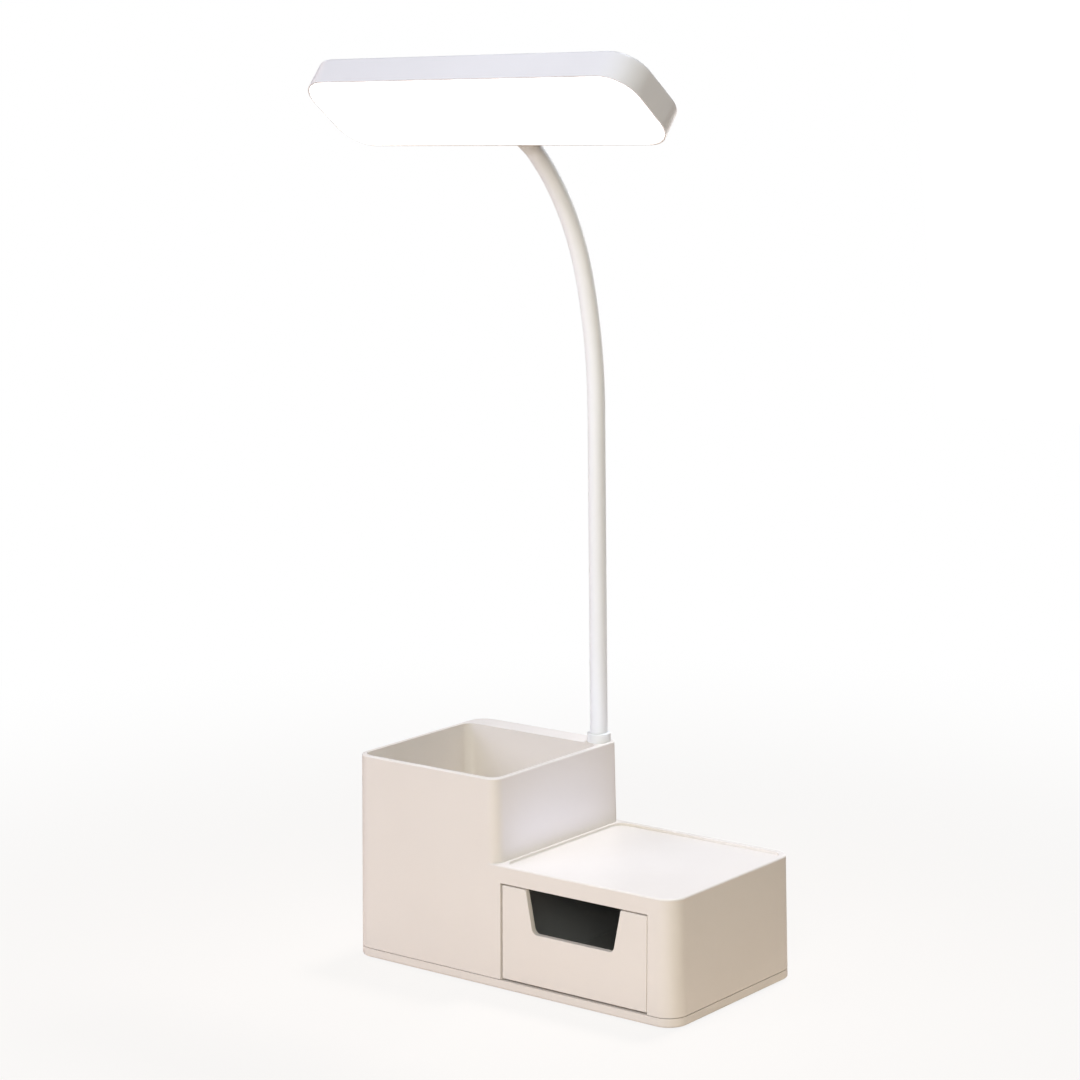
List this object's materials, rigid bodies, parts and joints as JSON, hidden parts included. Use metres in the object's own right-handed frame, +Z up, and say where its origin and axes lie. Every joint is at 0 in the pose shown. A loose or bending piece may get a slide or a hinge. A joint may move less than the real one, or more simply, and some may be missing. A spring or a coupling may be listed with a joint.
{
  "type": "desk lamp with drawer base",
  "caption": "Desk lamp: a flat rounded lamp head on a gooseneck, over a base with a pen cup and a low box whose drawer pulls out by a finger notch.",
  "frame": {"origin": "centre of the base's footprint on the desk, in the face of the anti-slip pad", "axes": "+Z up, +X to the right along the drawer's front, +Y to the back"},
  "size_m": [0.214, 0.1069, 0.4308],
  "materials": {
    "ivory_plastic": "fine moulded satin",
    "white_plastic": "moulded satin",
    "head_shell": "fine moulded satin",
    "frosted_cover": "frosted, lit",
    "neck_silicone": "smooth matt",
    "rubber_pad": "matt, finely ribbed",
    "steel": "zinc plated",
    "circuit_board": "satin lacquer",
    "board_aluminium": "white lacquer",
    "cell_wrap": "shrink sleeve",
    "black_plastic": "moulded",
    "lead_jacket": "smooth",
    "led_phosphor": "clear gel over phosphor"
  },
  "bodies": {
    "base": {"base_housing": "ivory_plastic", "base_plate": "ivory_plastic", "anti_slip_pad": "rubber_pad", "base_screws": "steel", "ballast_block": "steel", "ballast_screws": "steel", "battery_cell": "cell_wrap", "battery_holder": "black_plastic", "battery_contacts": "steel", "control_board": "circuit_board", "board_screws": "steel", "usb_socket": "steel", "tact_switch": "black_plastic", "neck_ferrule": "steel", "neck_collar": "white_plastic", "neck_washer": "steel", "neck_nut": "steel", "lamp_lead": "lead_jacket", "neck_sleeve_root": "neck_silicone", "neck_core_root": "steel"},
    "drawer": {"drawer": "ivory_plastic"},
    "power_button": {"power_button": "white_plastic", "switch_plunger": "black_plastic"},
    "neck_link_1": {"neck_sleeve_1": "neck_silicone", "neck_core_1": "steel"},
    "neck_link_2": {"neck_sleeve_2": "neck_silicone", "neck_core_2": "steel"},
    "neck_link_3": {"neck_sleeve_3": "neck_silicone", "neck_core_3": "steel"},
    "neck_link_4": {"neck_sleeve_4": "neck_silicone", "neck_core_4": "steel"},
    "neck_link_5": {"neck_sleeve_5": "neck_silicone", "neck_core_5": "steel"},
    "neck_link_6": {"neck_sleeve_6": "neck_silicone", "neck_core_6": "steel"},
    "neck_link_7": {"neck_sleeve_7": "neck_silicone", "neck_core_7": "steel"},
    "head": {"neck_sleeve_tip": "neck_silicone", "neck_core_tip": "steel", "head_socket": "white_plastic", "head_nut": "steel", "head_housing": "head_shell", "diffuser": "frosted_cover", "led_board": "board_aluminium", "led_chips": "led_phosphor", "reflector_sheet": "white_plastic", "head_screws": "steel"}
  },
  "joints": [
    {"name": "drawer_slide", "type": "slide", "parent": "base", "child": "drawer", "axis": [0, -1, 0], "range_m": [0, 0.065]},
    {"name": "power_button_press", "type": "slide", "parent": "base", "child": "power_button", "axis": [0, -1, 0], "range_m": [0, 0.0008], "stiffness_N_per_m": 1500, "springref_m": -0.0005},
    {"name": "neck_bend_1", "type": "hinge", "parent": "base", "child": "neck_link_1", "pos_m": [-0.0138, 0.0412, 0.12], "axis": [0.9986, -0.0523, 0], "range_deg": [-15, 15]},
    {"name": "neck_side_1", "type": "hinge", "parent": "neck_link_1", "child": "neck_link_2", "pos_m": [-0.0138, 0.0412, 0.15873], "axis": [-0.0523, -0.9986, 0], "range_deg": [-15, 15]},
    {"name": "neck_bend_2", "type": "hinge", "parent": "neck_link_2", "child": "neck_link_3", "pos_m": [-0.0138, 0.0412, 0.19746], "axis": [0.9986, -0.0523, 0], "range_deg": [-15, 15]},
    {"name": "neck_side_2", "type": "hinge", "parent": "neck_link_3", "child": "neck_link_4", "pos_m": [-0.0138, 0.0412, 0.23619], "axis": [-0.0523, -0.9986, 0], "range_deg": [-15, 15]},
    {"name": "neck_bend_3", "type": "hinge", "parent": "neck_link_4", "child": "neck_link_5", "pos_m": [-0.01382, 0.04088, 0.27491], "axis": [0.9986, -0.0523, 0], "range_deg": [-15, 15]},
    {"name": "neck_side_3", "type": "hinge", "parent": "neck_link_5", "child": "neck_link_6", "pos_m": [-0.01407, 0.03603, 0.31329], "axis": [-0.0513, -0.9785, -0.1999], "range_deg": [-15, 15]},
    {"name": "neck_bend_4", "type": "hinge", "parent": "neck_link_6", "child": "neck_link_7", "pos_m": [-0.01468, 0.02434, 0.3501], "axis": [0.9986, -0.0523, 0], "range_deg": [-15, 15]},
    {"name": "neck_side_4", "type": "hinge", "parent": "neck_link_7", "child": "head", "pos_m": [-0.01582, 0.00261, 0.38196], "axis": [-0.0383, -0.7309, -0.6814], "range_deg": [-15, 15]}
  ],
  "couplings": [
    {"joint": "neck_bend_2", "follows": "neck_bend_1", "ratio": 1},
    {"joint": "neck_side_2", "follows": "neck_side_1", "ratio": 1},
    {"joint": "neck_bend_3", "follows": "neck_bend_1", "ratio": 1},
    {"joint": "neck_side_3", "follows": "neck_side_1", "ratio": 1},
    {"joint": "neck_bend_4", "follows": "neck_bend_1", "ratio": 1},
    {"joint": "neck_side_4", "follows": "neck_side_1", "ratio": 1}
  ]
}
